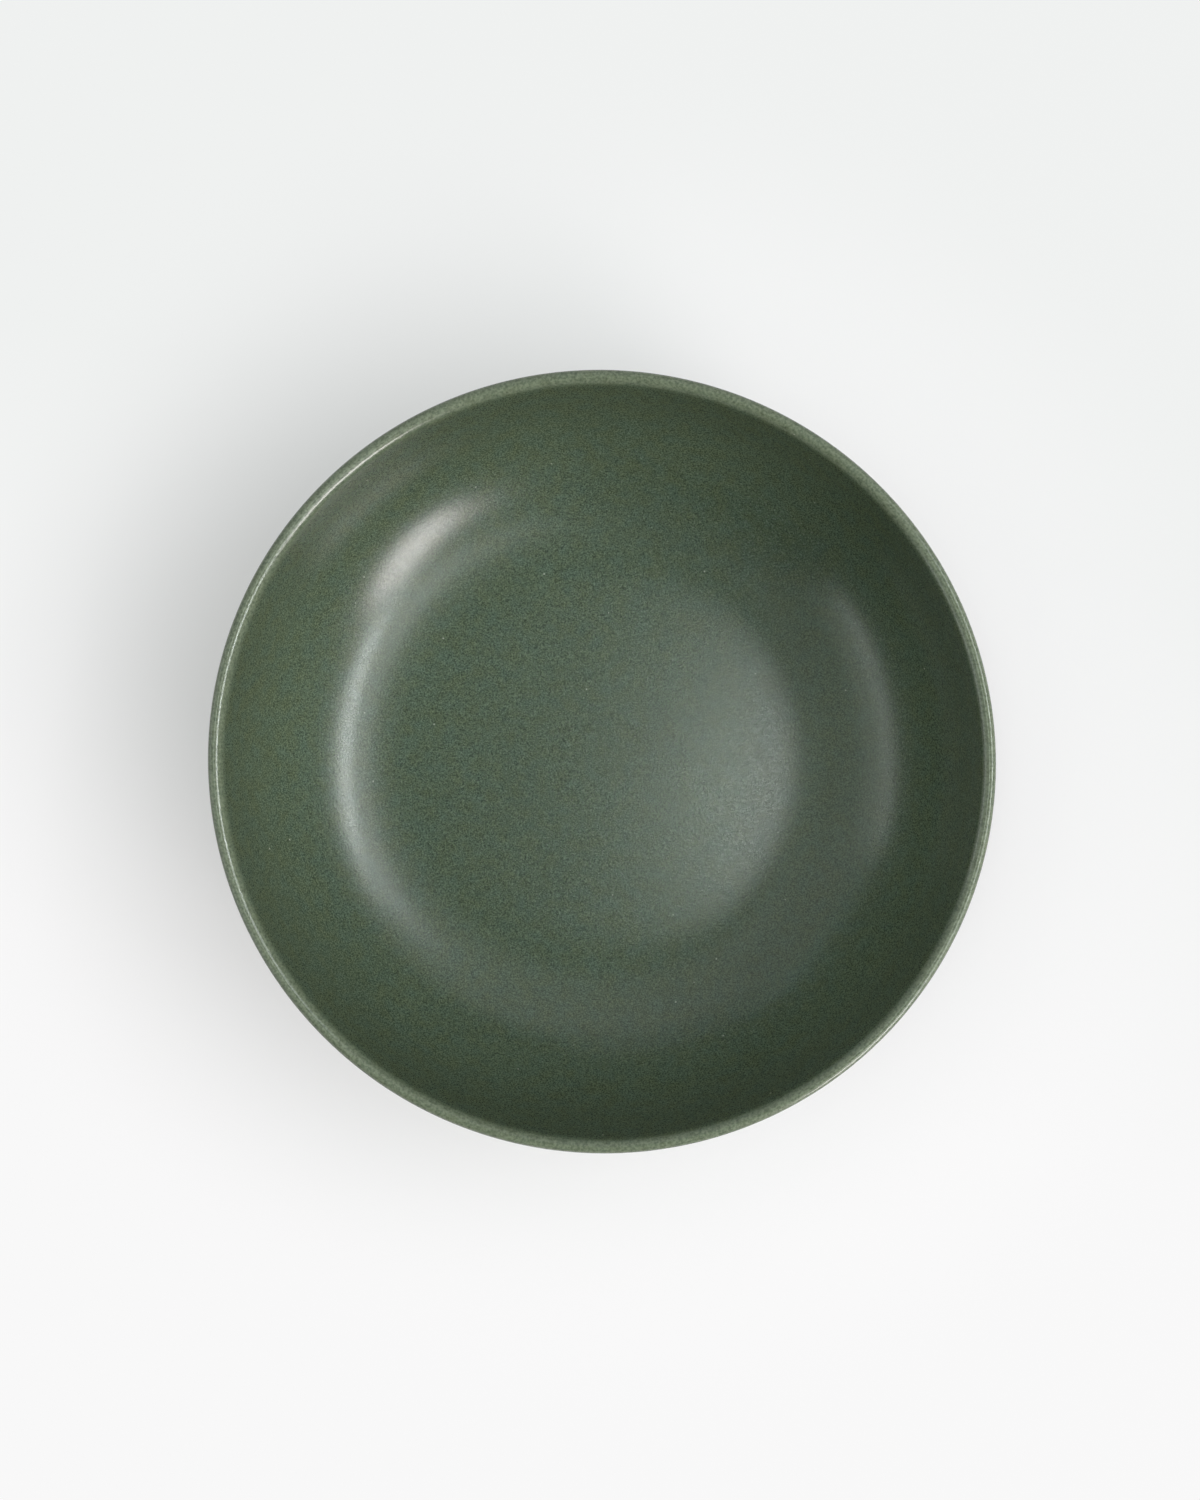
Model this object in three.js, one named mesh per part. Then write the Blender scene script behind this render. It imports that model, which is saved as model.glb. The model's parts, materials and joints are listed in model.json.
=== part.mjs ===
// Stoneware salad bowl: a fired clay body with a foot ring, under a coat of green glaze.
// Every piece is a section turned about the Z axis, drawn in radius and height.
// Millimetres, +Z up. The origin is the centre of the foot ring, on the table.
import * as THREE from "three";

// Form of the bowl, measured over the glaze
const rimDiameter = 250; // widest part of the lip
const bowlHeight = 72; // table to the top of the lip
const lipOuterRadius = 2.1; // round of the lip on the outside
const lipCrownRadius = 1.2; // tighter round just inside the top of the lip
const lipInnerRadius = 4.5; // softer curve from there down into the inside of the wall
const lipInnerStart = 25; // degrees past the top of the lip where that curve begins
const wallThickness = 5.2; // through the cove, from which the wall thins to the lip
const floorThickness = 5.5; // at the middle of the floor
const wallLean = 72; // degrees, inside of the upper wall above the horizontal
const coveRadius = 63; // inner curve between the floor and the wall
const dishRadius = 530; // shallow hollow of the floor

// Foot ring, which stands on the table on bare clay
const footDiameter = 132; // outer edge at the table
const footWidth = 5.5; // across the ring at the table
const footDraft = 8; // degrees that the sides of the ring lean
const footEdgeRadius = 0.8;
const shoulderFillet = 2.5; // between the belly of the bowl and the ring
const wellDepth = 4; // hollow under the floor, inside the ring
const wellFillet = 1.2;

// Glaze
const glazeThickness = 0.4;
const bareHeight = 1.8; // the glaze is wiped off both sides of the foot up to this height
const bondGap = 0.02; // the thin layer where the glaze has melted into the clay

// Fineness of the curves
const turnSteps = 56; // round the axis
const dishSteps = 2;
const coveSteps = 7;
const innerLipSteps = 2;
const lipSteps = 3;
const cornerSteps = 3;

// How far each surface lies under the finished surface of the bowl
const glazeFace = 0;
const glazeBack = glazeThickness;
const clayFace = glazeThickness + bondGap;

// Lines and centres of the curves that make the section
const down = -Math.PI / 2;
const bellyRadius = coveRadius + wallThickness; // outer curve, under the cove
const floorTop = wellDepth + floorThickness;
const draftSlope = Math.tan(THREE.MathUtils.degToRad(footDraft));
const acrossWall = THREE.MathUtils.degToRad(wallLean) + down; // the way out through the upper wall
const lipTurn = THREE.MathUtils.degToRad(lipInnerStart) - down; // the way to the start of the softer curve
const crownRadius = rimDiameter / 2 - lipOuterRadius; // circle along the top of the lip
const outerLip = new THREE.Vector2(crownRadius, bowlHeight - lipOuterRadius);
const crownLip = new THREE.Vector2(crownRadius, bowlHeight - lipCrownRadius);
const innerLip = new THREE.Vector2(Math.cos(lipTurn), Math.sin(lipTurn))
  .multiplyScalar(lipCrownRadius - lipInnerRadius)
  .add(crownLip);
const dishCentre = new THREE.Vector2(0, floorTop + dishRadius);
const coveCentre = findCentre(coveRadius, innerLip, -lipInnerRadius, dishRadius);
const bellyCentre = findCentre(bellyRadius, outerLip, lipOuterRadius, dishRadius + wallThickness);

// Centre of a circle that touches a side of the upper wall, given by its distance from the centre of
// a curve of the lip, and a side of the floor, given by its radius about the centre of the dish.
function findCentre(radius, lip, wallSide, floorSide) {
  const across = new THREE.Vector2(Math.cos(acrossWall), Math.sin(acrossWall));
  const upWall = new THREE.Vector2(-across.y, across.x);
  const start = lip.clone().addScaledVector(across, wallSide - radius);
  const fromDish = start.clone().sub(dishCentre);
  const along = fromDish.dot(upWall);
  const reach = Math.sqrt(along ** 2 - fromDish.lengthSq() + (floorSide - radius) ** 2);
  return start.addScaledVector(upWall, -along - reach);
}

// Direction from the centre of the dish to where such a circle touches the floor.
function floorTouch(centre) {
  return down + Math.atan2(centre.x, dishCentre.y - centre.y);
}

function arc(centre, radius, from, to, steps) {
  return new THREE.ArcCurve(centre.x, centre.y, radius, from, to, to < from).getPoints(steps);
}

// The curves of the lip, with points at its top and its widest, where the bowl is measured.
function lipRound(depth) {
  const inner = arc(innerLip, lipInnerRadius - depth, acrossWall + Math.PI, lipTurn, innerLipSteps);
  const top = arc(crownLip, lipCrownRadius - depth, lipTurn, Math.PI / 2, 1);
  const outer = arc(outerLip, lipOuterRadius - depth, Math.PI / 2, 0, lipSteps);
  const under = arc(outerLip, lipOuterRadius - depth, 0, acrossWall, 1);
  return [...inner, ...top.slice(1), ...outer.slice(1), ...under.slice(1)];
}

// A run of points that ends where a measure of them falls to zero.
function cutWhere(points, measure) {
  const next = points.findIndex((point) => measure(point) <= 0);
  const before = points[next - 1];
  const after = points[next];
  const share = measure(before) / (measure(before) - measure(after));
  return [...points.slice(0, next), before.clone().lerp(after, share)];
}

// A curve that rounds the corner between two straight runs.
function roundCorner(before, corner, after, radius) {
  const back = before.clone().sub(corner);
  const ahead = after.clone().sub(corner);
  const halfAngle = Math.acos(back.dot(ahead) / (back.length() * ahead.length())) / 2;
  const reach = Math.min(radius / Math.tan(halfAngle), back.length() / 2, ahead.length() / 2);
  const start = corner.clone().add(back.setLength(reach));
  const end = corner.clone().add(ahead.setLength(reach));
  return new THREE.QuadraticBezierCurve(start, corner, end).getPoints(cornerSteps);
}

// Sides of the foot ring at a height, for a surface at a depth under the finished one.
function footOutside(height, depth) {
  return footDiameter / 2 + height * draftSlope + clayFace - depth;
}

function footInside(height, depth) {
  return footDiameter / 2 - footWidth - height * draftSlope - clayFace + depth;
}

// The glazed side: floor, cove, inside wall, lip, outside wall, belly and shoulder, down to the bare foot.
function glazedSide(depth) {
  const coveFoot = floorTouch(coveCentre);
  const bellyFoot = floorTouch(bellyCentre);
  const floor = arc(dishCentre, dishRadius + depth, down, coveFoot, dishSteps);
  const cove = arc(coveCentre, coveRadius + depth, coveFoot, acrossWall, coveSteps);
  const lip = lipRound(depth);
  const belly = arc(bellyCentre, bellyRadius - depth, acrossWall, bellyFoot, coveSteps);
  const underFloor = arc(dishCentre, dishRadius + wallThickness - depth, bellyFoot, down, dishSteps);
  floor[0].x = 0;
  return [...floor, ...cove.slice(1), ...lip, ...shoulder([...belly, ...underFloor.slice(1)], depth)];
}

// The outside of the bowl, led round its shoulder into the side of the foot ring as far as the glaze line.
function shoulder(outside, depth) {
  const reach = shoulderFillet + depth - clayFace;
  const fromFoot = (point) => point.x - footOutside(point.y, depth);
  const corner = cutWhere(outside, fromFoot).at(-1);
  const above = cutWhere(outside, (point) => fromFoot(point) - reach);
  const below = new THREE.Vector2(footOutside(corner.y - reach, depth), corner.y - reach);
  const fillet = new THREE.QuadraticBezierCurve(above.at(-1), corner, below).getPoints(cornerSteps);
  const glazeLine = new THREE.Vector2(footOutside(bareHeight, depth), bareHeight);
  return [...above, ...fillet.slice(1), glazeLine];
}

// The bare clay of the foot ring, between its two glaze lines.
function bareFoot() {
  const outerLine = new THREE.Vector2(footOutside(bareHeight, clayFace), bareHeight);
  const outerEdge = new THREE.Vector2(footOutside(0, clayFace), 0);
  const innerEdge = new THREE.Vector2(footInside(0, clayFace), 0);
  const innerLine = new THREE.Vector2(footInside(bareHeight, clayFace), bareHeight);
  return [
    ...roundCorner(outerLine, outerEdge, innerEdge, footEdgeRadius),
    ...roundCorner(outerEdge, innerEdge, innerLine, footEdgeRadius),
  ];
}

// The glazed well under the floor, from the bare foot to the axis.
function glazedWell(depth) {
  const top = wellDepth + depth;
  const glazeLine = new THREE.Vector2(footInside(bareHeight, depth), bareHeight);
  const corner = new THREE.Vector2(footInside(top, depth), top);
  const middle = new THREE.Vector2(0, top);
  const fillet = roundCorner(glazeLine, corner, middle, wellFillet);
  return [glazeLine, ...fillet, middle];
}

// The sections run down the outside of the bowl, and the lathe takes them upwards.
function turn(name, section, material) {
  const geometry = new THREE.LatheGeometry(section.toReversed(), turnSteps);
  geometry.rotateX(Math.PI / 2);
  const mesh = new THREE.Mesh(geometry, material);
  mesh.name = name;
  return mesh;
}

const clay = new THREE.MeshStandardMaterial({ color: 0xb9a68c, roughness: 0.9, metalness: 0 });
const glaze = new THREE.MeshStandardMaterial({ color: 0x54614f, roughness: 0.45, metalness: 0 });

// A coat of glaze fills the space between its face and its back.
const bodySection = [...glazedSide(clayFace), ...bareFoot(), ...glazedWell(clayFace)];
const coatSection = [...glazedSide(glazeFace), ...glazedSide(glazeBack).reverse()];
const wellSection = [...glazedWell(glazeBack).reverse(), ...glazedWell(glazeFace)];

const bowl = new THREE.Group();
bowl.add(turn("stoneware_body", bodySection, clay));
bowl.add(turn("glaze_coat", coatSection, glaze));
bowl.add(turn("well_glaze", wellSection, glaze));

export default bowl;
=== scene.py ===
import json
import bpy
import numpy as np
from mathutils import Matrix, Vector

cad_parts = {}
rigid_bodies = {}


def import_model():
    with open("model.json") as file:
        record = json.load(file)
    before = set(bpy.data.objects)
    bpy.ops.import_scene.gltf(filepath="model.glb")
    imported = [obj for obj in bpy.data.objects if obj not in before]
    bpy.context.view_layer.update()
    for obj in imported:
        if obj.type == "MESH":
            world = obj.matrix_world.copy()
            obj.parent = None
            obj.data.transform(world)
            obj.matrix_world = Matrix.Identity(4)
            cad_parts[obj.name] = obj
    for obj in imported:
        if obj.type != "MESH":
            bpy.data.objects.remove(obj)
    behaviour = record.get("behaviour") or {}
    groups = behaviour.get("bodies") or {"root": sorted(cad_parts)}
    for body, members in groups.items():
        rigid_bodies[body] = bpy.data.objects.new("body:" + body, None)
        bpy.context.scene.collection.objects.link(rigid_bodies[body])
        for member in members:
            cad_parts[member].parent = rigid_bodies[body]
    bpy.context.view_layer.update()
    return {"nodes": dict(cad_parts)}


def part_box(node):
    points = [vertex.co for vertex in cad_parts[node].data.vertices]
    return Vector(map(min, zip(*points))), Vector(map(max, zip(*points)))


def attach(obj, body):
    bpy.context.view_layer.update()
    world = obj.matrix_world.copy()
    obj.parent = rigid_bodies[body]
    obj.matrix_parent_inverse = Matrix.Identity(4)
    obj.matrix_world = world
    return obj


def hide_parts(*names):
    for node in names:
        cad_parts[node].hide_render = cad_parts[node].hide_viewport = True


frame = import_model()
print("frame loaded:", sorted(frame["nodes"]))

# Sizes of the bowl in metres, as in the CAD. The rim and the height come from the frame.
bowlForm = {
    "lipOuterRadius": 0.0021,
    "lipCrownRadius": 0.0012,
    "lipInnerRadius": 0.0045,
    "lipInnerStart": 25.0,  # degrees past the top of the lip, where its softer inner curve begins
    "wallThickness": 0.0052,
    "floorThickness": 0.0055,
    "wallLean": 72.0,  # degrees, inside of the upper wall
    "coveRadius": 0.063,
    "dishRadius": 0.530,
    "footDiameter": 0.132,
    "footWidth": 0.0055,
    "footDraft": 8.0,  # degrees
    "footEdgeRadius": 0.0008,
    "shoulderFillet": 0.0025,
    "wellDepth": 0.004,
    "wellFillet": 0.0012,
    "glazeThickness": 0.0004,
    "bareHeight": 0.0018,
    "bondGap": 0.00002,
    "ribSpread": 0.0070,  # how far the rib softens the joins between the curves
}

# How finely the sections are drawn: numbers of points, and steps in metres
meshFine = {
    "turns": 256,  # round the axis
    "longCurve": 300,  # on the floor, the cove and the belly, before their joins are softened
    "innerLip": 14,
    "crownLip": 8,
    "outerLip": 16,
    "shoulder": 12,
    "footSide": 10,
    "footEdge": 9,
    "footFlat": 8,
    "wellSide": 7,
    "wellCorner": 10,
    "wellFloor": 22,
    "glazeEdge": 9,
    "faceStep": 0.00125,  # along the face of the coat
    "backStep": 0.0040,
    "clayStep": 0.0030,
    "bellSteps": 16,  # small steps in one spread of the bell curve that softens the joins
    "bellReach": 3,  # spreads to either side that the bell curve takes in
}

# What the kiln does to a turned form. It only draws the form in, so it stays in the CAD box.
kilnWarp = {
    "oval": 0.0047,  # half of the rim's out of round, as a share of the radius
    "ovalAngle": -25.8,  # degrees, long axis of the rim
    "dip": 0.0004,  # how far the rim dips at its two lowest places
    "dipAngle": 55.0,
}

down = -np.pi / 2
onAxis = 1e-6  # a point nearer to the axis than this lies on it
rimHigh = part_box("glaze_coat")[1]
rimRadius, rimHeight = rimHigh.x, rimHigh.z
bellyRadius = bowlForm["coveRadius"] + bowlForm["wallThickness"]
floorTop = bowlForm["wellDepth"] + bowlForm["floorThickness"]
clayDepth = bowlForm["glazeThickness"] + bowlForm["bondGap"]
acrossWall = np.radians(bowlForm["wallLean"]) + down
draftSlope = np.tan(np.radians(bowlForm["footDraft"]))
lipTurn = np.radians(bowlForm["lipInnerStart"]) - down
crownRadius = rimRadius - bowlForm["lipOuterRadius"]  # circle along the top of the lip
outerLip = np.array([crownRadius, rimHeight - bowlForm["lipOuterRadius"]])
crownLip = np.array([crownRadius, rimHeight - bowlForm["lipCrownRadius"]])
lipWay = np.array([np.cos(lipTurn), np.sin(lipTurn)])
innerLip = crownLip + lipWay * (bowlForm["lipCrownRadius"] - bowlForm["lipInnerRadius"])
dishCentre = np.array([0.0, floorTop + bowlForm["dishRadius"]])
dishUnder = bowlForm["dishRadius"] + bowlForm["wallThickness"]


# Centre of a circle that touches one side of the upper wall, given by its distance from the centre of
# a curve of the lip, and one side of the floor, given by its radius about the middle of the dish.
def touchCentre(radius, lip, wallSide, floorSide):
    across = np.array([np.cos(acrossWall), np.sin(acrossWall)])
    upWall = np.array([-across[1], across[0]])
    start = lip + across * (wallSide - radius)
    fromDish = start - dishCentre
    along = fromDish @ upWall
    reach = np.sqrt(along ** 2 - fromDish @ fromDish + (floorSide - radius) ** 2)
    return start + upWall * (-along - reach)


coveCentre = touchCentre(
    bowlForm["coveRadius"], innerLip, -bowlForm["lipInnerRadius"], bowlForm["dishRadius"])
bellyCentre = touchCentre(bellyRadius, outerLip, bowlForm["lipOuterRadius"], dishUnder)


# angle, seen from the middle of the dish, where such a circle meets the floor
def floorTouch(centre):
    return down + np.arctan2(centre[0], dishCentre[1] - centre[1])


# points of a circle between two angles: centre + radius * (cos, sin)
def arc(centre, radius, start, end, count):
    angle = np.linspace(start, end, count)
    return centre + radius * np.column_stack([np.cos(angle), np.sin(angle)])


# a parabola that rounds the corner between two points
def corner(start, tip, end, count):
    t = np.linspace(0, 1, count)[:, None]
    return (1 - t) ** 2 * start + 2 * t * (1 - t) * tip + t ** 2 * end


# the way walked along a run of points, up to each of them
def wayAlong(points):
    return np.concatenate([[0.0], np.cumsum(np.linalg.norm(np.diff(points, axis=0), axis=1))])


# A run of curves is walked in even small steps, and each point becomes the mean of its neighbours under
# a bell curve. An end on the axis is mirrored there, and another end is carried on by a half turn
# about itself.
def softenJoins(points, spread, spacing):
    small = spread / meshFine["bellSteps"]
    reach = meshFine["bellReach"]
    half = reach * meshFine["bellSteps"]
    way = wayAlong(points)
    even = np.linspace(0, way[-1], int(way[-1] / small) + 1)
    steps = np.column_stack([np.interp(even, way, points[:, 0]), np.interp(even, way, points[:, 1])])
    bell = np.exp(-np.linspace(-reach, reach, 2 * half + 1) ** 2 / 2)
    bell = bell / bell.sum()
    ahead, behind = steps[1:half + 1][::-1], steps[-half - 1:-1][::-1]
    before = ahead * [-1, 1] if points[0, 0] < onAxis else 2 * steps[0] - ahead
    after = behind * [-1, 1] if points[-1, 0] < onAxis else 2 * steps[-1] - behind
    padded = np.vstack([before, steps, after])
    soft = np.column_stack([np.convolve(side, bell, "valid") for side in padded.T])
    pick = np.linspace(0, len(soft) - 1, int(way[-1] / spacing) + 1).round().astype(int)
    return soft[pick]


# the part of a run of points before a measure of them falls to zero, with the point where it does
def cutWhere(points, measure):
    k = int(np.argmax(measure <= 0))
    share = measure[k - 1] / (measure[k - 1] - measure[k])
    return np.vstack([points[:k], points[k - 1] + share * (points[k] - points[k - 1])])


# radius of the sides of the foot ring at a height, for a surface at a depth under the finished one
def footOutside(height, depth):
    return bowlForm["footDiameter"] / 2 + height * draftSlope + clayDepth - depth


def footInside(height, depth):
    return bowlForm["footDiameter"] / 2 - bowlForm["footWidth"] - height * draftSlope - clayDepth + depth


# the three curves of the lip, from the inside of the wall over the top to the outside
def lipRound(depth):
    inner = arc(innerLip, bowlForm["lipInnerRadius"] - depth,
                acrossWall + np.pi, lipTurn, meshFine["innerLip"])
    top = arc(crownLip, bowlForm["lipCrownRadius"] - depth, lipTurn, np.pi / 2, meshFine["crownLip"])
    outer = arc(outerLip, bowlForm["lipOuterRadius"] - depth, np.pi / 2, acrossWall, meshFine["outerLip"])
    return np.vstack([inner, top[1:], outer[1:]])


# section of the glazed side at a depth under its finished face, from the middle of the floor
# to the glaze line
def glazedSide(depth, spacing):
    many = meshFine["longCurve"]
    coveFoot, bellyFoot = floorTouch(coveCentre), floorTouch(bellyCentre)
    floor = arc(dishCentre, bowlForm["dishRadius"] + depth, down, coveFoot, many)
    cove = arc(coveCentre, bowlForm["coveRadius"] + depth, coveFoot, acrossWall, many)
    lip = lipRound(depth)
    belly = arc(bellyCentre, bellyRadius - depth, acrossWall, bellyFoot, many)
    under = arc(dishCentre, dishUnder - depth, bellyFoot, down, many)
    floor[0, 0] = under[-1, 0] = 0.0
    inside = softenJoins(np.vstack([floor, cove[1:], lip[:1]]), bowlForm["ribSpread"], spacing)
    outside = softenJoins(np.vstack([lip[-1:], belly, under[1:]]), bowlForm["ribSpread"], spacing)
    reach = bowlForm["shoulderFillet"] + depth - clayDepth
    fromFoot = outside[:, 0] - footOutside(outside[:, 1], depth)
    tip = cutWhere(outside, fromFoot)[-1]
    above = cutWhere(outside, fromFoot - reach)
    below = np.array([footOutside(tip[1] - reach, depth), tip[1] - reach])
    fillet = corner(above[-1], tip, below, meshFine["shoulder"])[1:]
    line = np.array([footOutside(bowlForm["bareHeight"], depth), bowlForm["bareHeight"]])
    side = np.linspace(below, line, meshFine["footSide"])[1:]
    return np.vstack([inside[:-1], lip, above[1:], fillet, side])


# section of the glazed well under the floor, from the glaze line to the axis
def glazedWell(depth):
    top = bowlForm["wellDepth"] + depth
    line = np.array([footInside(bowlForm["bareHeight"], depth), bowlForm["bareHeight"]])
    tip = np.array([footInside(top, depth), top])
    reach = min(bowlForm["wellFillet"], (top - line[1]) / 2)
    start = tip + (line - tip) / np.linalg.norm(line - tip) * reach
    end = tip - np.array([reach, 0.0])
    side = np.linspace(line, start, meshFine["wellSide"])[:-1]
    middle = np.linspace(end, np.array([0.0, top]), meshFine["wellFloor"])[1:]
    return np.vstack([side, corner(start, tip, end, meshFine["wellCorner"]), middle])


# section of the bare foot ring between its two glaze lines
def bareFoot():
    edge = bowlForm["footEdgeRadius"]
    lineHeight = bowlForm["bareHeight"]
    outerLine = np.array([footOutside(lineHeight, clayDepth), lineHeight])
    innerLine = np.array([footInside(lineHeight, clayDepth), lineHeight])
    outerTip = np.array([footOutside(0.0, clayDepth), 0.0])
    innerTip = np.array([footInside(0.0, clayDepth), 0.0])
    outerUp = outerTip + (outerLine - outerTip) / np.linalg.norm(outerLine - outerTip) * edge
    innerUp = innerTip + (innerLine - innerTip) / np.linalg.norm(innerLine - innerTip) * edge
    inward = np.array([edge, 0.0])
    outerRound = corner(outerUp, outerTip, outerTip - inward, meshFine["footEdge"])
    innerRound = corner(innerTip + inward, innerTip, innerUp, meshFine["footEdge"])
    flat = np.linspace(outerRound[-1], innerRound[0], meshFine["footFlat"])[1:-1]
    return np.vstack([outerRound, flat, innerRound])


# the rolled edge of a coat at its glaze line: a half circle below the line from face to back
def glazeEdge(facePoint, backPoint):
    turn = np.linspace(0, np.pi, meshFine["glazeEdge"])[1:-1, None]
    middle, half = (facePoint + backPoint) / 2, (facePoint - backPoint) / 2
    drop = np.array([0.0, -np.linalg.norm(half)])
    return middle + half * np.cos(turn) + drop * np.sin(turn)


# The rim is drawn in to an oval: radius * (1 - oval * share * (1 - cos 2(turn - angle))),
# and it dips the same way. The share grows with the square of the height over the floor.
def warp(radius, height, turn):
    share = np.clip((height - floorTop) / (rimHeight - floorTop), 0, 1) ** 2
    ovalTurn = 1 - np.cos(2 * (turn - np.radians(kilnWarp["ovalAngle"])))
    dipTurn = (1 - np.cos(2 * (turn - np.radians(kilnWarp["dipAngle"])))) / 2
    return radius * (1 - kilnWarp["oval"] * share * ovalTurn), height - kilnWarp["dip"] * share * dipTurn


glazeLine = {
    "waver": 0.00035,  # how far the glaze line strays up and down
    "reach": 0.0030,  # height of the band that strays with it
    "waves": ((3, 1.0, 0.4), (7, 0.7, 2.1), (16, 0.5, 4.0)),  # times in a turn, share, where it starts
}


# The glaze line wavers as the sponge left it: a sum of a few cosines of the turn, at most 1 either way.
# A point follows it less the higher it is above the line, and moves along the leaning side of the foot.
def waver(radius, height, turn, lean):
    lift = sum(share * np.cos(times * turn + start) for times, share, start in glazeLine["waves"])
    lift = lift / sum(share for times, share, start in glazeLine["waves"])
    near = np.clip(1 - (height - bowlForm["bareHeight"]) / glazeLine["reach"], 0, 1) ** 2
    rise = glazeLine["waver"] * lift * near
    return radius + rise * lean * draftSlope, height + rise


# the angles at which the points of a ring stand
def ringTurns():
    return np.linspace(0, 2 * np.pi, meshFine["turns"], endpoint=False)[:, None]


# A section carried round the axis: x = r cos turn, y = r sin turn, z = height, with one point at each pole.
# The section runs out over the floor and down the outside, so that its faces point outwards.
def turnSection(name, section, lean=0):
    turn = ringTurns()
    ring = section[1:-1]
    radius, height = ring[None, :, 0], ring[None, :, 1]
    if lean:
        radius, height = waver(radius, height, turn, lean)
    radius, height = warp(radius, height, turn)
    grid = np.stack([radius * np.cos(turn), radius * np.sin(turn), height], axis=-1)
    poles = np.array([[0.0, 0.0, section[0, 1]], [0.0, 0.0, section[-1, 1]]])
    points = np.vstack([grid.reshape(-1, 3), poles])
    turns, count = len(turn), len(ring)
    index = np.arange(turns * count).reshape(turns, count)
    ahead = np.roll(index, -1, axis=0)
    quads = np.stack([index[:, :-1], index[:, 1:], ahead[:, 1:], ahead[:, :-1]], axis=-1).reshape(-1, 4)
    firstPole, lastPole = turns * count, turns * count + 1
    firstFan = np.column_stack([np.full(turns, firstPole), index[:, 0], ahead[:, 0]])
    lastFan = np.column_stack([index[:, -1], np.full(turns, lastPole), ahead[:, -1]])
    mesh = bpy.data.meshes.new(name)
    mesh.from_pydata(points.tolist(), [], quads.tolist() + firstFan.tolist() + lastFan.tolist())
    mesh.polygons.foreach_set("use_smooth", np.ones(len(mesh.polygons), dtype=bool))
    mesh.update()
    piece = bpy.data.objects.new(name, mesh)
    bpy.context.scene.collection.objects.link(piece)
    return piece


# one value for each point of a section, or of each turn of it, kept on the mesh for its material
def markSection(piece, name, values):
    values = np.broadcast_to(values, (meshFine["turns"], np.shape(values)[-1]))
    marks = np.concatenate([values[:, 1:-1].ravel(), values[0, [0, -1]]])
    layer = piece.data.attributes.new(name, "FLOAT", "POINT")
    layer.data.foreach_set("value", marks.astype(np.float32))


# a node with the values of its sockets and its settings
def addNode(tree, kind, place, values=None, **settings):
    node = tree.nodes.new(kind)
    node.location = place
    for key, value in settings.items():
        setattr(node, key, value)
    for key, value in (values or {}).items():
        node.inputs[key].default_value = value
    return node


# a socket takes a link from another socket, or a fixed value
def feed(tree, socket, value):
    if isinstance(value, bpy.types.NodeSocket):
        tree.links.new(value, socket)
    else:
        socket.default_value = value


def mathNode(tree, place, operation, *values):
    node = addNode(tree, "ShaderNodeMath", place, operation=operation)
    for socket, value in zip(node.inputs, values):
        feed(tree, socket, value)
    return node.outputs[0]


# two colours mixed by a factor
def mixColour(tree, place, factor, first, second, blend="MIX"):
    mix = addNode(tree, "ShaderNodeMix", place, data_type="RGBA", blend_type=blend)
    for socket, value in ((mix.inputs[0], factor), (mix.inputs[6], first), (mix.inputs[7], second)):
        feed(tree, socket, value)
    return mix.outputs[2]


# a value carried from one range over to another, and held inside it
def mapRange(tree, place, value, fromRange, toRange=(0.0, 1.0), ease="LINEAR"):
    node = addNode(tree, "ShaderNodeMapRange", place, interpolation_type=ease)
    for name, ends in (("From", fromRange), ("To", toRange)):
        node.inputs[name + " Min"].default_value, node.inputs[name + " Max"].default_value = ends
    tree.links.new(value, node.inputs["Value"])
    return node.outputs["Result"]


def rampColour(tree, place, factor, stops):
    ramp = addNode(tree, "ShaderNodeValToRGB", place)
    for position, colour in stops[1:-1]:
        ramp.color_ramp.elements.new(position)
    for element, (position, colour) in zip(ramp.color_ramp.elements, stops):
        element.position, element.color = position, colour
    tree.links.new(factor, ramp.inputs["Fac"])
    return ramp.outputs["Color"]


# a noise on Object coordinates, given by its scale and its detail, with part of its range stretched
# to run from 0 to 1
def addNoise(tree, coords, row, kind, contrast):
    scale, detail = kind
    noise = addNode(tree, "ShaderNodeTexNoise", (-900, row), {"Scale": scale, "Detail": detail})
    tree.links.new(coords.outputs["Object"], noise.inputs["Vector"])
    return mapRange(tree, (-700, row), noise.outputs["Fac"], contrast)


# Scattered spots: balls of a cell pattern on Object coordinates, cut by the surface. The edge says
# between which distances from the middle of a cell the spot fades.
def addSpots(tree, coords, row, scale, edge, share):
    cells = addNode(tree, "ShaderNodeTexVoronoi", (-900, row), {"Scale": scale})
    tree.links.new(coords.outputs["Object"], cells.inputs["Vector"])
    return mapRange(tree, (-700, row), cells.outputs["Distance"], edge, (share, 0.0))


def addBump(tree, shader, height, strength, depth):
    bump = addNode(tree, "ShaderNodeBump", (700, -300), {"Strength": strength, "Distance": depth})
    tree.links.new(height, bump.inputs["Height"])
    tree.links.new(bump.outputs["Normal"], shader.inputs["Normal"])


# a mark that a section carries
def addMark(tree, place, name):
    return addNode(tree, "ShaderNodeAttribute", place, attribute_name=name).outputs["Fac"]


def newMaterial(name):
    material = bpy.data.materials.new(name)
    material.use_nodes = True
    tree = material.node_tree
    tree.nodes.clear()
    output = addNode(tree, "ShaderNodeOutputMaterial", (1500, 0))
    shader = addNode(tree, "ShaderNodeBsdfPrincipled", (1200, 0))
    tree.links.new(shader.outputs["BSDF"], output.inputs["Surface"])
    return material, tree, shader


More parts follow.
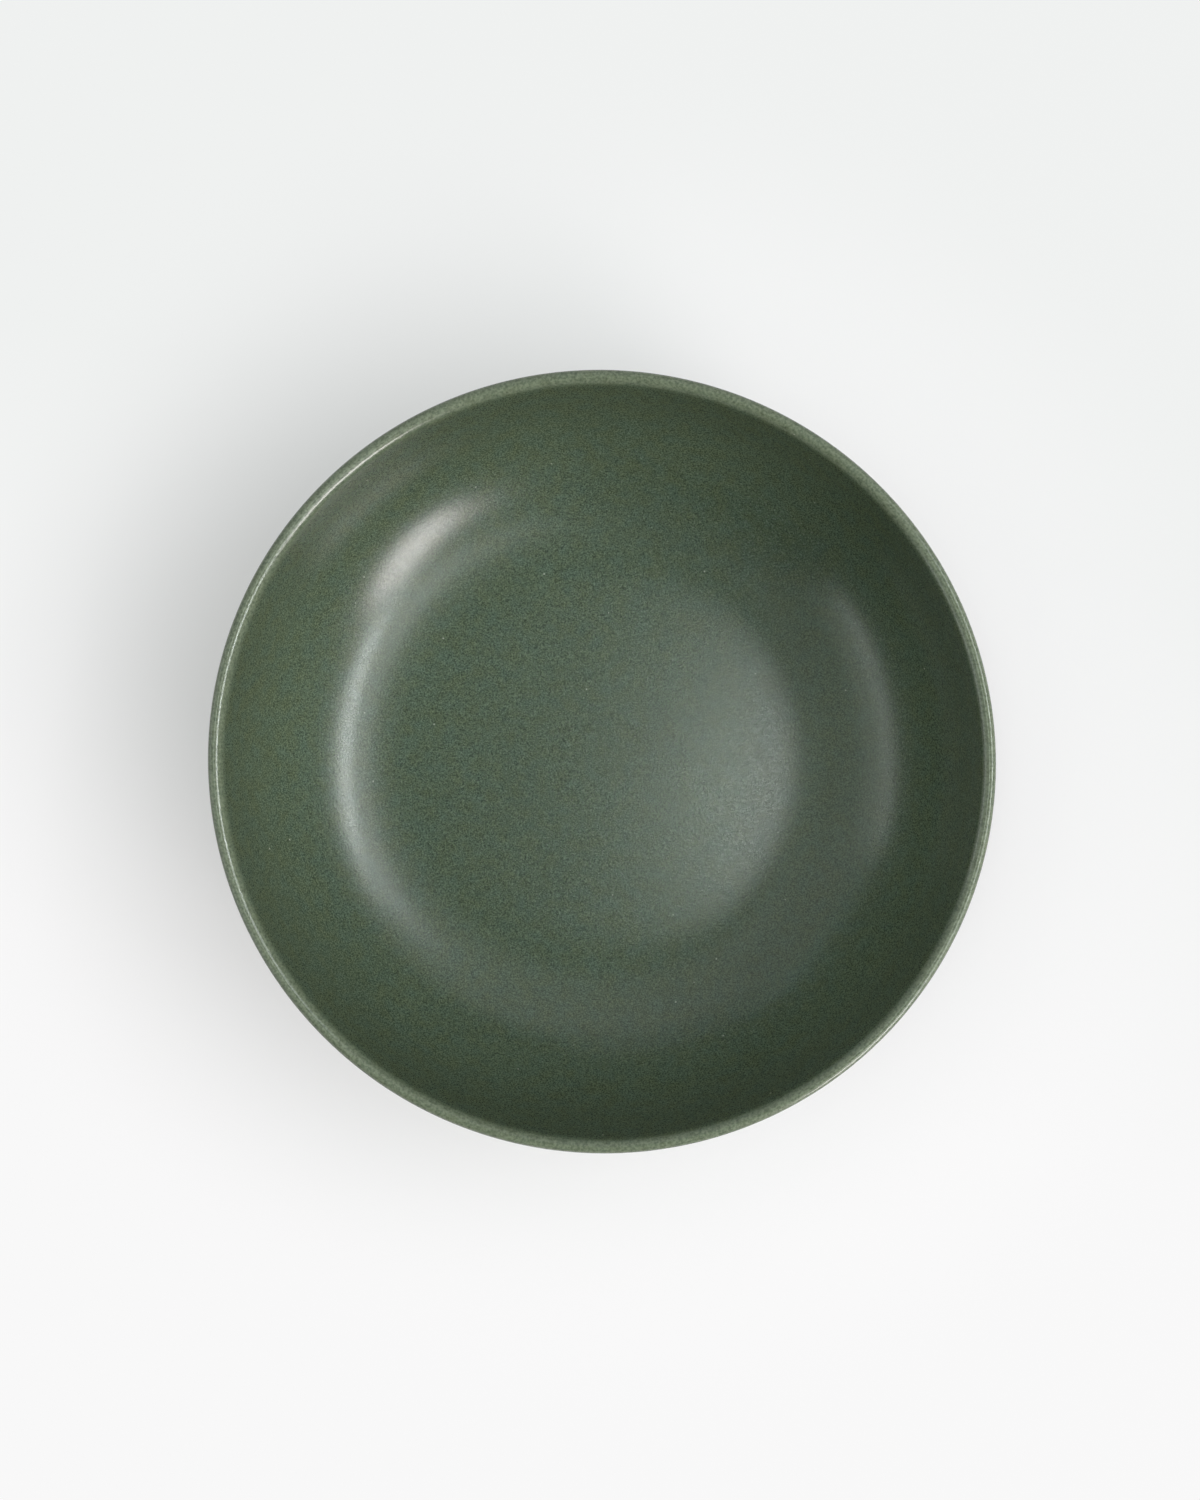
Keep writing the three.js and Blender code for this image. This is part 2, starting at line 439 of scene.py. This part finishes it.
# Satin green glaze. Colours are linear. A noise has a scale, per metre, and a detail.
glazeLook = {
    "dark": (0.0335, 0.0482, 0.0320, 1.0),  # flecks
    "green": (0.0710, 0.0994, 0.0650, 1.0),
    "pale": (0.1135, 0.1545, 0.1010, 1.0),  # crystals between the flecks
    "grain": (2000.0, 1.0),
    "coarse": (1100.0, 1.0),  # grain of the gloss, the bump and the break on the lip
    "mottle": (190.0, 2.0),
    "cloud": (24.0, 2.0),
    "contrast": (0.3, 0.7),
    "coarseContrast": (0.35, 0.65),
    "olive": (1.03, 0.985, 0.90, 1.0),  # tints of the mottle
    "bluish": (0.96, 1.015, 1.09, 1.0),
    "cloudDark": (0.97, 0.97, 0.97, 1.0),
    "cloudPale": (1.03, 1.03, 1.03, 1.0),
    "speckScale": 110.0,
    "speckEdge": (0.024, 0.036),
    "speckShare": 0.8,
    "speck": (0.34, 0.37, 0.31, 1.0),
    "wall": (0.87, 0.82, 0.76, 1.0),  # painted shade: a darker, browner tint on the upper wall, where less light falls
    "lip": (0.182, 0.216, 0.145, 1.0),  # where it breaks paler over the lip, with painted light on the lit side of the inner lip
    "lipGrain": (0.55, 0.30),  # how much of that break comes in grains, and how much is even
    "line": (0.085, 0.066, 0.036, 1.0),  # where it thins out at the foot
    "roughness": (0.22, 0.28),
    "lipGloss": 0.75,  # share of that roughness on the lip
    "wallGloss": 0.70,  # and on the steep wall
    "steepMark": (0.35, 0.60),  # where the mark of the wall counts as steep
    "ior": 1.5,
    "bump": 0.10,
    "bumpDepth": 0.0001,
}
plainTint = (1.0, 1.0, 1.0, 1.0)


def makeGlaze():
    look = glazeLook
    material, tree, shader = newMaterial("greenGlaze")
    coords = addNode(tree, "ShaderNodeTexCoord", (-1200, 0))
    grain = addNoise(tree, coords, 400, look["grain"], look["contrast"])
    mottle = addNoise(tree, coords, 100, look["mottle"], look["contrast"])
    cloud = addNoise(tree, coords, -200, look["cloud"], look["contrast"])
    coarse = addNoise(tree, coords, -500, look["coarse"], look["coarseContrast"])
    stops = [(0.0, look["dark"]), (0.5, look["green"]), (1.0, look["pale"])]
    body = rampColour(tree, (-400, 400), grain, stops)
    tint = mixColour(tree, (-400, 100), mottle, look["olive"], look["bluish"])
    body = mixColour(tree, (-100, 300), 1.0, body, tint, "MULTIPLY")
    shade = mixColour(tree, (-400, -200), cloud, look["cloudDark"], look["cloudPale"])
    body = mixColour(tree, (100, 300), 1.0, body, shade, "MULTIPLY")
    # a few tiny pale specks
    specks = addSpots(tree, coords, -800, look["speckScale"], look["speckEdge"], look["speckShare"])
    body = mixColour(tree, (300, 300), specks, body, look["speck"])
    # painted shade: the upper wall is darker and browner where less light falls; the glaze is browner at
    # the glaze line, and breaks paler on the lip, in grains, in a band painted wider on the side of the
    # inner lip that the light falls on
    wallMark = addMark(tree, (-400, -350), "wallShadeAndGloss")
    lipMark = addMark(tree, (-400, -500), "lipBreakAndLight")
    lineMark = addMark(tree, (-400, -700), "lineThin")
    # painted shade multiplies into the colour of the upper wall
    paintedWallShade = mixColour(tree, (-200, -350), wallMark, plainTint, look["wall"])
    body = mixColour(tree, (400, 300), 1.0, body, paintedWallShade, "MULTIPLY")
    lipGrain = mathNode(tree, (-200, -500), "MULTIPLY_ADD", coarse, *look["lipGrain"])
    lipShare = mathNode(tree, (0, -500), "MULTIPLY", lipMark, lipGrain)
    body = mixColour(tree, (500, 300), lipShare, body, look["lip"])
    body = mixColour(tree, (700, 300), lineMark, body, look["line"])
    tree.links.new(body, shader.inputs["Base Color"])
    # the steep wall and the lip are glassier
    steep = mapRange(tree, (-200, -200), wallMark, look["steepMark"], ease="SMOOTHSTEP")
    offLip = mathNode(tree, (0, -350), "SUBTRACT", 1.0, lipMark)
    steep = mathNode(tree, (150, -250), "MULTIPLY", steep, offLip)
    gloss = mathNode(tree, (500, -300), "MULTIPLY_ADD", lipMark, look["lipGloss"] - 1, 1.0)
    gloss = mathNode(tree, (600, -300), "MULTIPLY_ADD", steep, look["wallGloss"] - 1, gloss)
    rough = mapRange(tree, (500, -100), coarse, (0.0, 1.0), look["roughness"])
    rough = mathNode(tree, (700, -100), "MULTIPLY", rough, gloss)
    tree.links.new(rough, shader.inputs["Roughness"])
    addBump(tree, shader, coarse, look["bump"], look["bumpDepth"])
    shader.inputs["IOR"].default_value = look["ior"]
    return material


# Bare stoneware: warm grey, sandy, with a few iron spots
clayLook = {
    "clay": (0.44, 0.34, 0.23, 1.0),
    "pale": (0.56, 0.46, 0.33, 1.0),
    "sand": (2600.0, 2.0),  # scale and detail
    "contrast": (0.3, 0.7),
    "spotScale": 420.0,
    "spotEdge": (0.08, 0.14),
    "spotShare": 0.8,
    "iron": (0.12, 0.07, 0.04, 1.0),
    "roughness": 0.85,
    "bump": 0.5,
    "bumpDepth": 0.0001,
}


def makeClay():
    look = clayLook
    material, tree, shader = newMaterial("firedClay")
    coords = addNode(tree, "ShaderNodeTexCoord", (-1200, 0))
    sand = addNoise(tree, coords, 300, look["sand"], look["contrast"])
    body = mixColour(tree, (-300, 300), sand, look["clay"], look["pale"])
    spots = addSpots(tree, coords, -100, look["spotScale"], look["spotEdge"], look["spotShare"])
    body = mixColour(tree, (0, 300), spots, body, look["iron"])
    tree.links.new(body, shader.inputs["Base Color"])
    addBump(tree, shader, sand, look["bump"], look["bumpDepth"])
    shader.inputs["Roughness"].default_value = look["roughness"]
    return material


greenGlaze, firedClay = makeGlaze(), makeClay()
print("materials made")

# How the marks fade: reaches in metres along the section from the top of the lip, or up from the glaze line
marks = {
    "lipInside": 0.0030,
    "lipOutside": 0.0028,
    "lipPower": 3,  # flattens the top of the curve
    "lipLitSwing": 0.22,  # painted light: the pale break on the inner lip is wider by this share on the side the light falls on, and narrower on the other
    "lipLitSide": 163.0,  # degrees, the lit side where it is wider
    "wallReach": 0.045,
    "lineReach": 0.0007,
    "lineShare": 0.85,
}


# Marks for the glaze: its paler break over the lip, painted wider on the lit side of the inner lip; painted
# shade on the upper wall, which also makes it glossier; and how thin it lies at the line. Bell curves of
# the way from the crown, with a flat top on the lip, and a fade from the line.
def markGlaze(piece, section, face):
    way = wayAlong(section)
    fromCrown = way - way[np.argmax(section[:, 1])]
    # painted light: the lip's pale band is widened on the side that the light falls on
    litSwing = 1 + marks["lipLitSwing"] * np.cos(ringTurns() - np.radians(marks["lipLitSide"]))
    lipReach = np.where(fromCrown < 0, marks["lipInside"] * litSwing, marks["lipOutside"])
    lipBreakAndLight = np.exp(-np.abs(fromCrown / lipReach) ** marks["lipPower"])
    # painted shade on the upper wall near the rim; the same mark makes the wall glossier
    wallShadeAndGloss = np.exp(-(fromCrown / marks["wallReach"]) ** 2)
    overLine = np.clip(section[:, 1] - bowlForm["bareHeight"], 0, None)
    lineThin = marks["lineShare"] * np.exp(-overLine / marks["lineReach"])
    markSection(piece, "lipBreakAndLight", lipBreakAndLight if face else 0 * way)
    markSection(piece, "wallShadeAndGloss", wallShadeAndGloss if face else 0 * way)
    markSection(piece, "lineThin", lineThin)


coatFace = glazedSide(0.0, meshFine["faceStep"])
coatBack = glazedSide(bowlForm["glazeThickness"], meshFine["backStep"])[::-1]
coatSection = np.vstack([coatFace, glazeEdge(coatFace[-1], coatBack[0]), coatBack])
coat = turnSection("glazeCoat", coatSection, lean=1)
markGlaze(coat, coatSection, True)
coat.data.materials.append(greenGlaze)
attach(coat, "root")
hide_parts("glaze_coat")
print("glaze coat:", len(coat.data.polygons), "faces")

claySection = np.vstack([glazedSide(clayDepth, meshFine["clayStep"]), bareFoot(), glazedWell(clayDepth)])
clay = turnSection("clayBody", claySection)
clay.data.materials.append(firedClay)
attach(clay, "root")
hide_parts("stoneware_body")
print("clay body:", len(clay.data.polygons), "faces")

wellFace = glazedWell(0.0)
wellBack = glazedWell(bowlForm["glazeThickness"])[::-1]
wellSection = np.vstack([wellBack, glazeEdge(wellBack[-1], wellFace[0]), wellFace])
well = turnSection("wellGlaze", wellSection, lean=-1)
markGlaze(well, wellSection, False)
well.data.materials.append(greenGlaze)
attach(well, "root")
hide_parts("well_glaze")
print("well glaze:", len(well.data.polygons), "faces")

# A pale floor at the height that the foot stands on. The camera sees part of it as painted light, a white
# glow that is brighter towards the front of the picture, the more the farther it is from the bowl; it
# paints out the shadow away from the bowl and keeps it near the bowl.
floorLook = {
    "half": 6.0,
    "colour": (0.853, 0.829, 0.839, 1.0),
    "paintedLightBack": (0.866, 0.880, 0.873, 1.0),  # painted light, far up in the picture
    "paintedLightFront": (0.940, 0.938, 0.940, 1.0),
    "paintedLightWay": (-0.235, -1.0, 0.0),  # from the one to the other
    "paintedLightSpan": 0.103,  # how far to either side of the axis the one turns into the other
    "paintedLightReach": (0.080, 0.242),  # distances from the axis between which the share of painted light grows
    "paintedLightShare": (0.114, 0.98),  # and the share at each of them
}


def makeFloor():
    half, span = floorLook["half"], floorLook["paintedLightSpan"]
    mesh = bpy.data.meshes.new("floor")
    corners = [(-half, -half, 0), (half, -half, 0), (half, half, 0), (-half, half, 0)]
    mesh.from_pydata(corners, [], [(0, 1, 2, 3)])
    material, tree, shader = newMaterial("paleFloor")
    link = tree.links.new
    shader.inputs["Base Color"].default_value = floorLook["colour"]
    shader.inputs["Roughness"].default_value = 1.0
    shader.inputs["Specular IOR Level"].default_value = 0.0
    coords = addNode(tree, "ShaderNodeTexCoord", (400, -600))
    along = addNode(tree, "ShaderNodeVectorMath", (600, -900), operation="DOT_PRODUCT")
    along.inputs[1].default_value = floorLook["paintedLightWay"]
    link(coords.outputs["Object"], along.inputs[0])
    front = mapRange(tree, (800, -900), along.outputs["Value"], (-span, span))
    tone = mixColour(tree, (1000, -700), front, floorLook["paintedLightBack"], floorLook["paintedLightFront"])
    paintedLight = addNode(tree, "ShaderNodeEmission", (1200, -400), {"Strength": 1.0})
    link(tone, paintedLight.inputs["Color"])
    away = addNode(tree, "ShaderNodeVectorMath", (600, -600), operation="LENGTH")
    link(coords.outputs["Object"], away.inputs[0])
    # painted light grows with the distance from the bowl, so that the shadow fades away from it
    share = mapRange(tree, (800, -600), away.outputs["Value"],
                     floorLook["paintedLightReach"], floorLook["paintedLightShare"], "SMOOTHSTEP")
    # only for the camera and for what mirrors the floor
    path = addNode(tree, "ShaderNodeLightPath", (600, -300)).outputs
    seen = mathNode(tree, (800, -300), "MAXIMUM", path["Is Camera Ray"], path["Is Glossy Ray"])
    seen = mathNode(tree, (950, -300), "MAXIMUM", seen, path["Is Transmission Ray"])
    share = mathNode(tree, (1100, -300), "MULTIPLY", seen, share)
    mix = addNode(tree, "ShaderNodeMixShader", (1400, -200))
    link(share, mix.inputs["Fac"])
    link(shader.outputs["BSDF"], mix.inputs[1])
    link(paintedLight.outputs["Emission"], mix.inputs[2])
    link(mix.outputs["Shader"], tree.nodes["Material Output"].inputs["Surface"])
    mesh.materials.append(material)
    plane = bpy.data.objects.new("floor", mesh)
    bpy.context.scene.collection.objects.link(plane)
    return plane


floor = makeFloor()
print("floor laid")

# Lamps: azimuth and elevation seen from the bowl, width, height and roll of the face, all in degrees,
# and the radiance and colour of the face.
lampFar = 3.0  # metres from where the lamps aim
lamps = {
    "hotLamp": (312.0, 21.0, 27.0, 14.5, 36.0, 15.7, (1.0, 0.95, 0.953)),
    "hotEnd": (299.0, 22.0, 14.0, 10.0, 20.0, 3.0, (1.0, 0.88, 0.90)),
    "strip": (352.0, 40.0, 62.0, 3.4, 0.0, 13.5, (0.941, 0.990, 0.982)),
    "stripMid": (352.0, 39.2, 40.0, 4.2, 0.0, 17.2, (0.935, 0.980, 0.982)),
    "softRight": (350.0, 52.0, 66.0, 5.0, 0.0, 4.14, (0.99, 1.0, 1.0)),
    "softFront": (308.0, 49.0, 30.0, 12.0, 0.0, 1.75, (0.97, 1.0, 0.96)),
    "backRight": (32.0, 44.0, 20.0, 12.0, 0.0, 1.96, (0.80, 0.89, 1.0)),
    "windowLeft": (190.0, 22.0, 50.0, 5.0, 0.0, 3.5, (0.93, 1.0, 0.93)),
    "windowSill": (190.0, 16.5, 50.0, 3.4, 0.0, 3.75, (0.95, 0.985, 1.0)),
    "windowTop": (190.0, 32.0, 50.0, 7.0, 0.0, 1.35, (0.89, 1.0, 0.946)),
    "softLeft": (145.0, 20.0, 40.0, 10.0, 0.0, 0.71, (0.78, 1.0, 0.947)),
    "softBack": (108.0, 18.0, 46.0, 6.0, 0.0, 0.79, (0.75, 0.855, 1.0)),
    "overhead": (178.0, 82.5, 10.0, 3.5, 0.0, 17.8, (0.918, 1.0, 0.965)),
    "overSoft": (178.0, 80.0, 26.0, 11.0, 0.0, 3.2, (0.937, 1.0, 0.97)),
    "overWide": (180.0, 66.0, 60.0, 10.0, 0.0, 0.56, (0.857, 1.0, 0.853)),
    "fillLeft": (190.0, 48.0, 60.0, 18.0, 0.0, 0.29, (0.876, 1.0, 0.879)),
}
roundLamps = ("hotLamp", "hotEnd", "overhead", "overSoft")
lampAim = Vector((0.0, 0.0, 0.04))


# An area lamp that faces the bowl. Its power is pi * area of the face * radiance.
def makeLamp(name, azimuth, elevation, wide, high, rolled, radiance, colour):
    az, el, roll = np.radians([azimuth, elevation, rolled])
    away = Vector((np.cos(el) * np.cos(az), np.cos(el) * np.sin(az), np.sin(el)))
    level = Vector((-np.sin(az), np.cos(az), 0.0))
    across = np.cos(roll) * level + np.sin(roll) * away.cross(level)
    data = bpy.data.lights.new(name, "AREA")
    data.shape = "ELLIPSE" if name in roundLamps else "RECTANGLE"
    data.size = 2 * lampFar * np.tan(np.radians(wide / 2))
    data.size_y = 2 * lampFar * np.tan(np.radians(high / 2))
    area = data.size * data.size_y * (np.pi / 4 if name in roundLamps else 1)
    data.energy = np.pi * area * radiance
    data.color = colour
    lamp = bpy.data.objects.new(name, data)
    lamp.location = lampAim + away * lampFar
    lamp.rotation_euler = Matrix((across, away.cross(across), away)).transposed().to_euler()
    lamp.visible_camera = False
    bpy.context.scene.collection.objects.link(lamp)


for lampName, lampSettings in lamps.items():
    makeLamp(lampName, *lampSettings)
print("lamps:", len(lamps))

# The room: light comes from a band of the walls, most from one side. The camera sees a plain pale backdrop,
# and reflections see it near the horizon. Heights are sines of the elevation.
room = {
    "mid": 0.416,  # light of the band, halfway round from its brightest side
    "turn": 90.0,  # degrees, the brightest side
    "bandRise": (0.38, 0.44),
    "bandFall": (0.88, 0.93),
    "horizon": (0.08, 0.14),  # where the backdrop ends in reflections
    "backdrop": (0.93, 0.935, 0.933, 1.0),
}
dark, bright = (0.0, 0.0, 0.0, 1.0), (1.0, 1.0, 1.0, 1.0)


def makeRoom():
    world = bpy.data.worlds.new("room")
    world.use_nodes = True
    tree = world.node_tree
    tree.nodes.clear()
    link = tree.links.new
    coords = addNode(tree, "ShaderNodeTexCoord", (-600, 0))
    split = addNode(tree, "ShaderNodeSeparateXYZ", (-400, 200))
    link(coords.outputs["Generated"], split.inputs["Vector"])
    tones = (dark, dark, bright, bright, dark, dark)
    stops = list(zip((0.0, *room["bandRise"], *room["bandFall"], 1.0), tones))
    band = rampColour(tree, (-200, 200), split.outputs["Z"], stops)
    side = addNode(tree, "ShaderNodeVectorMath", (-400, -100), operation="DOT_PRODUCT")
    turn = np.radians(room["turn"])
    side.inputs[1].default_value = (np.cos(turn), np.sin(turn), 0.0)
    link(coords.outputs["Generated"], side.inputs[0])
    share = mathNode(tree, (0, -100), "MULTIPLY_ADD", side.outputs["Value"], room["mid"], room["mid"])
    colour = mixColour(tree, (350, 100), 1.0, band, share, "MULTIPLY")
    path = addNode(tree, "ShaderNodeLightPath", (0, -400)).outputs
    low = mapRange(tree, (0, -700), split.outputs["Z"], room["horizon"], (1.0, 0.0))
    mirror = mathNode(tree, (250, -400), "MAXIMUM", path["Is Glossy Ray"], path["Is Transmission Ray"])
    mirror = mathNode(tree, (400, -500), "MULTIPLY", mirror, low)
    seen = mathNode(tree, (550, -400), "MAXIMUM", path["Is Camera Ray"], mirror)
    colour = mixColour(tree, (750, 0), seen, colour, room["backdrop"])
    light = addNode(tree, "ShaderNodeBackground", (1000, 0))
    output = addNode(tree, "ShaderNodeOutputWorld", (1200, 0))
    link(colour, light.inputs["Color"])
    link(light.outputs["Background"], output.inputs["Surface"])
    return world


bpy.context.scene.world = makeRoom()
print("room lit")

# Camera above the bowl, a little off its axis, with +Y up in the picture
view = {
    "above": 0.900,  # camera over the rim
    "off": (-0.009, 0.024),
    "aim": (-0.0008, 0.0041),  # where the middle of the picture meets the plane of the rim
    "rimPixels": 395.0,  # long half axis of the rim in a picture 1200 wide and 1500 high
    "picturePixels": 1500.0,  # the longer side of that picture, which the sensor spans
    "sensor": 36.0,
    "clip": (0.01, 50.0),
}
cameraData = bpy.data.cameras.new("camera")
camera = bpy.data.objects.new("camera", cameraData)
bpy.context.scene.collection.objects.link(camera)
bpy.context.scene.camera = camera
camera.location = (*view["off"], rimHeight + view["above"])
forward = (Vector((*view["aim"], rimHeight)) - camera.location).normalized()
rightward = forward.cross(Vector((0.0, 1.0, 0.0))).normalized()
camera.rotation_euler = Matrix((rightward, rightward.cross(forward), -forward)).transposed().to_euler()
widest = view["above"] + bowlForm["lipOuterRadius"]  # camera over the widest part of the rim
cameraData.sensor_width = view["sensor"]
cameraData.lens = view["sensor"] * view["rimPixels"] * widest / rimRadius / view["picturePixels"]
cameraData.clip_start, cameraData.clip_end = view["clip"]
print("camera set")

bpy.context.scene.view_settings.view_transform = "Standard"
